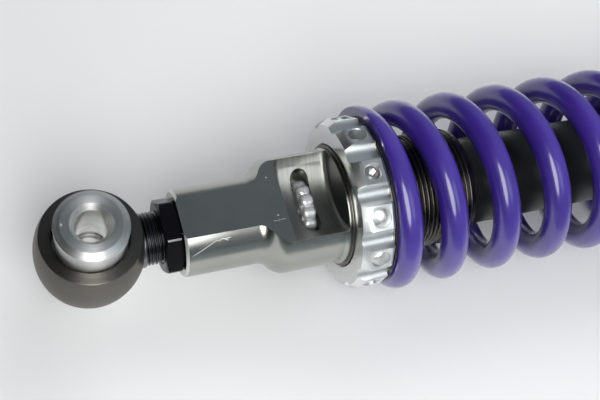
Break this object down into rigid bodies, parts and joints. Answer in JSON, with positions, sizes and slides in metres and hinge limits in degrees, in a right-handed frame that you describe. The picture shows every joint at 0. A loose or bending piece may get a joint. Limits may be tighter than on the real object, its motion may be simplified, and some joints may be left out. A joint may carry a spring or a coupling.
{
  "type": "motorcycle rear shock absorber",
  "caption": "Coil-over rear shock for a motorcycle: purple spring, threaded sleeve with preload ring, thumb-wheel rebound adjuster, eye at each end with spherical bearing and spacers.",
  "frame": {"origin": "centre of the lower eye, on the axis of its bolt hole", "axes": "+X along the damper from the lower eye to the upper eye, +Z along both eye bolt holes, +Y completes the right-handed frame"},
  "size_m": [0.3798, 0.0816, 0.0816],
  "materials": {
    "black_steel": "satin",
    "grey_anodised": "satin",
    "bare_aluminium": "satin",
    "black_anodised": "satin",
    "purple_paint": "gloss",
    "zinc_steel": "satin",
    "bearing_steel": "polished",
    "spring_steel": "satin",
    "hard_chrome": "polished",
    "seal_rubber": "matte",
    "buffer_foam": "matte",
    "bearing_bronze": "satin",
    "slide_band": "matte"
  },
  "bodies": {
    "lower_eye": {"rod_end_eye": "black_steel", "lower_bearing_race": "bearing_steel", "lower_bearing_clips": "spring_steel"},
    "lower_ball": {"lower_bearing_ball": "bearing_steel"},
    "lower_spacers": {"lower_spacer_top": "bare_aluminium", "lower_spacer_bottom": "bare_aluminium"},
    "lock_nut": {"lock_nut": "black_steel"},
    "shaft_bracket": {"shaft_bracket": "grey_anodised", "detent_ball": "bearing_steel", "detent_spring": "spring_steel", "threaded_sleeve": "black_anodised", "piston_rod": "hard_chrome", "bump_stop": "buffer_foam", "top_out_bumper": "seal_rubber", "rebound_shims": "spring_steel", "piston": "bare_aluminium", "piston_band": "slide_band", "compression_shims": "spring_steel", "piston_nut": "zinc_steel"},
    "rebound_adjuster": {"adjuster_wheel": "zinc_steel", "adjuster_shaft": "zinc_steel"},
    "spring_seat": {"thrust_washer": "spring_steel", "lower_spring_seat": "black_anodised", "main_spring": "purple_paint"},
    "preload_ring": {"preload_ring": "bare_aluminium", "ring_set_screw": "zinc_steel", "set_screw_pad": "slide_band"},
    "damper": {"damper_tube": "black_anodised", "gland_clip": "spring_steel", "seal_head": "bare_aluminium", "seal_head_o_ring": "seal_rubber", "rod_wiper": "seal_rubber", "oil_seal": "seal_rubber", "rod_bush": "bearing_bronze", "upper_spring_seat": "black_anodised", "seat_clip": "spring_steel", "damper_head": "grey_anodised", "head_o_ring": "seal_rubber", "gas_fill_plug": "zinc_steel", "upper_bearing_race": "bearing_steel", "upper_bearing_clips": "spring_steel"},
    "gas_piston": {"floating_piston": "bare_aluminium", "floating_piston_ring": "seal_rubber"},
    "upper_ball": {"upper_bearing_ball": "bearing_steel"},
    "upper_spacers": {"upper_spacer_top": "bare_aluminium", "upper_spacer_bottom": "bare_aluminium"}
  },
  "joints": [
    {"name": "length_adjust", "type": "slide", "parent": "lower_eye", "child": "shaft_bracket", "axis": [1, 0, 0], "range_m": [-0.005, 0.01]},
    {"name": "lock_nut_turn", "type": "hinge", "parent": "shaft_bracket", "child": "lock_nut", "pos_m": [0.0315, 0, 0], "axis": [1, 0, 0], "range_deg": [0, 360]},
    {"name": "rebound_adjust", "type": "hinge", "parent": "shaft_bracket", "child": "rebound_adjuster", "pos_m": [0.0903, 0, 0], "axis": [1, 0, 0], "range_deg": [-540, 540]},
    {"name": "preload_travel", "type": "slide", "parent": "shaft_bracket", "child": "spring_seat", "axis": [1, 0, 0], "range_m": [0, 0.012]},
    {"name": "preload_turn", "type": "hinge", "parent": "spring_seat", "child": "preload_ring", "pos_m": [0.111, 0, 0], "axis": [1, 0, 0], "range_deg": [0, 2160.5]},
    {"name": "stroke", "type": "slide", "parent": "spring_seat", "child": "damper", "axis": [-1, 0, 0], "range_m": [0, 0.043], "stiffness_N_per_m": 85000, "deforming": ["main_spring"]},
    {"name": "gas_piston_slide", "type": "slide", "parent": "damper", "child": "gas_piston", "axis": [1, 0, 0], "range_m": [0, 0.0075]},
    {"name": "lower_bearing_tilt", "type": "hinge", "parent": "lower_eye", "child": "lower_ball", "pos_m": [0, 0, 0], "axis": [1, 0, 0], "range_deg": [-4, 4]},
    {"name": "lower_spacer_spin", "type": "hinge", "parent": "lower_ball", "child": "lower_spacers", "pos_m": [0, 0, 0], "axis": [0, 0, 1], "continuous": true},
    {"name": "upper_bearing_tilt", "type": "hinge", "parent": "damper", "child": "upper_ball", "pos_m": [0.335, 0, 0], "axis": [1, 0, 0], "range_deg": [-4, 4]},
    {"name": "upper_spacer_spin", "type": "hinge", "parent": "upper_ball", "child": "upper_spacers", "pos_m": [0.335, 0, 0], "axis": [0, 0, 1], "continuous": true}
  ],
  "couplings": [
    {"joint": "preload_turn", "follows": "preload_travel", "rad_per_m": 3141.6},
    {"joint": "gas_piston_slide", "follows": "stroke", "ratio": 0.16955}
  ]
}
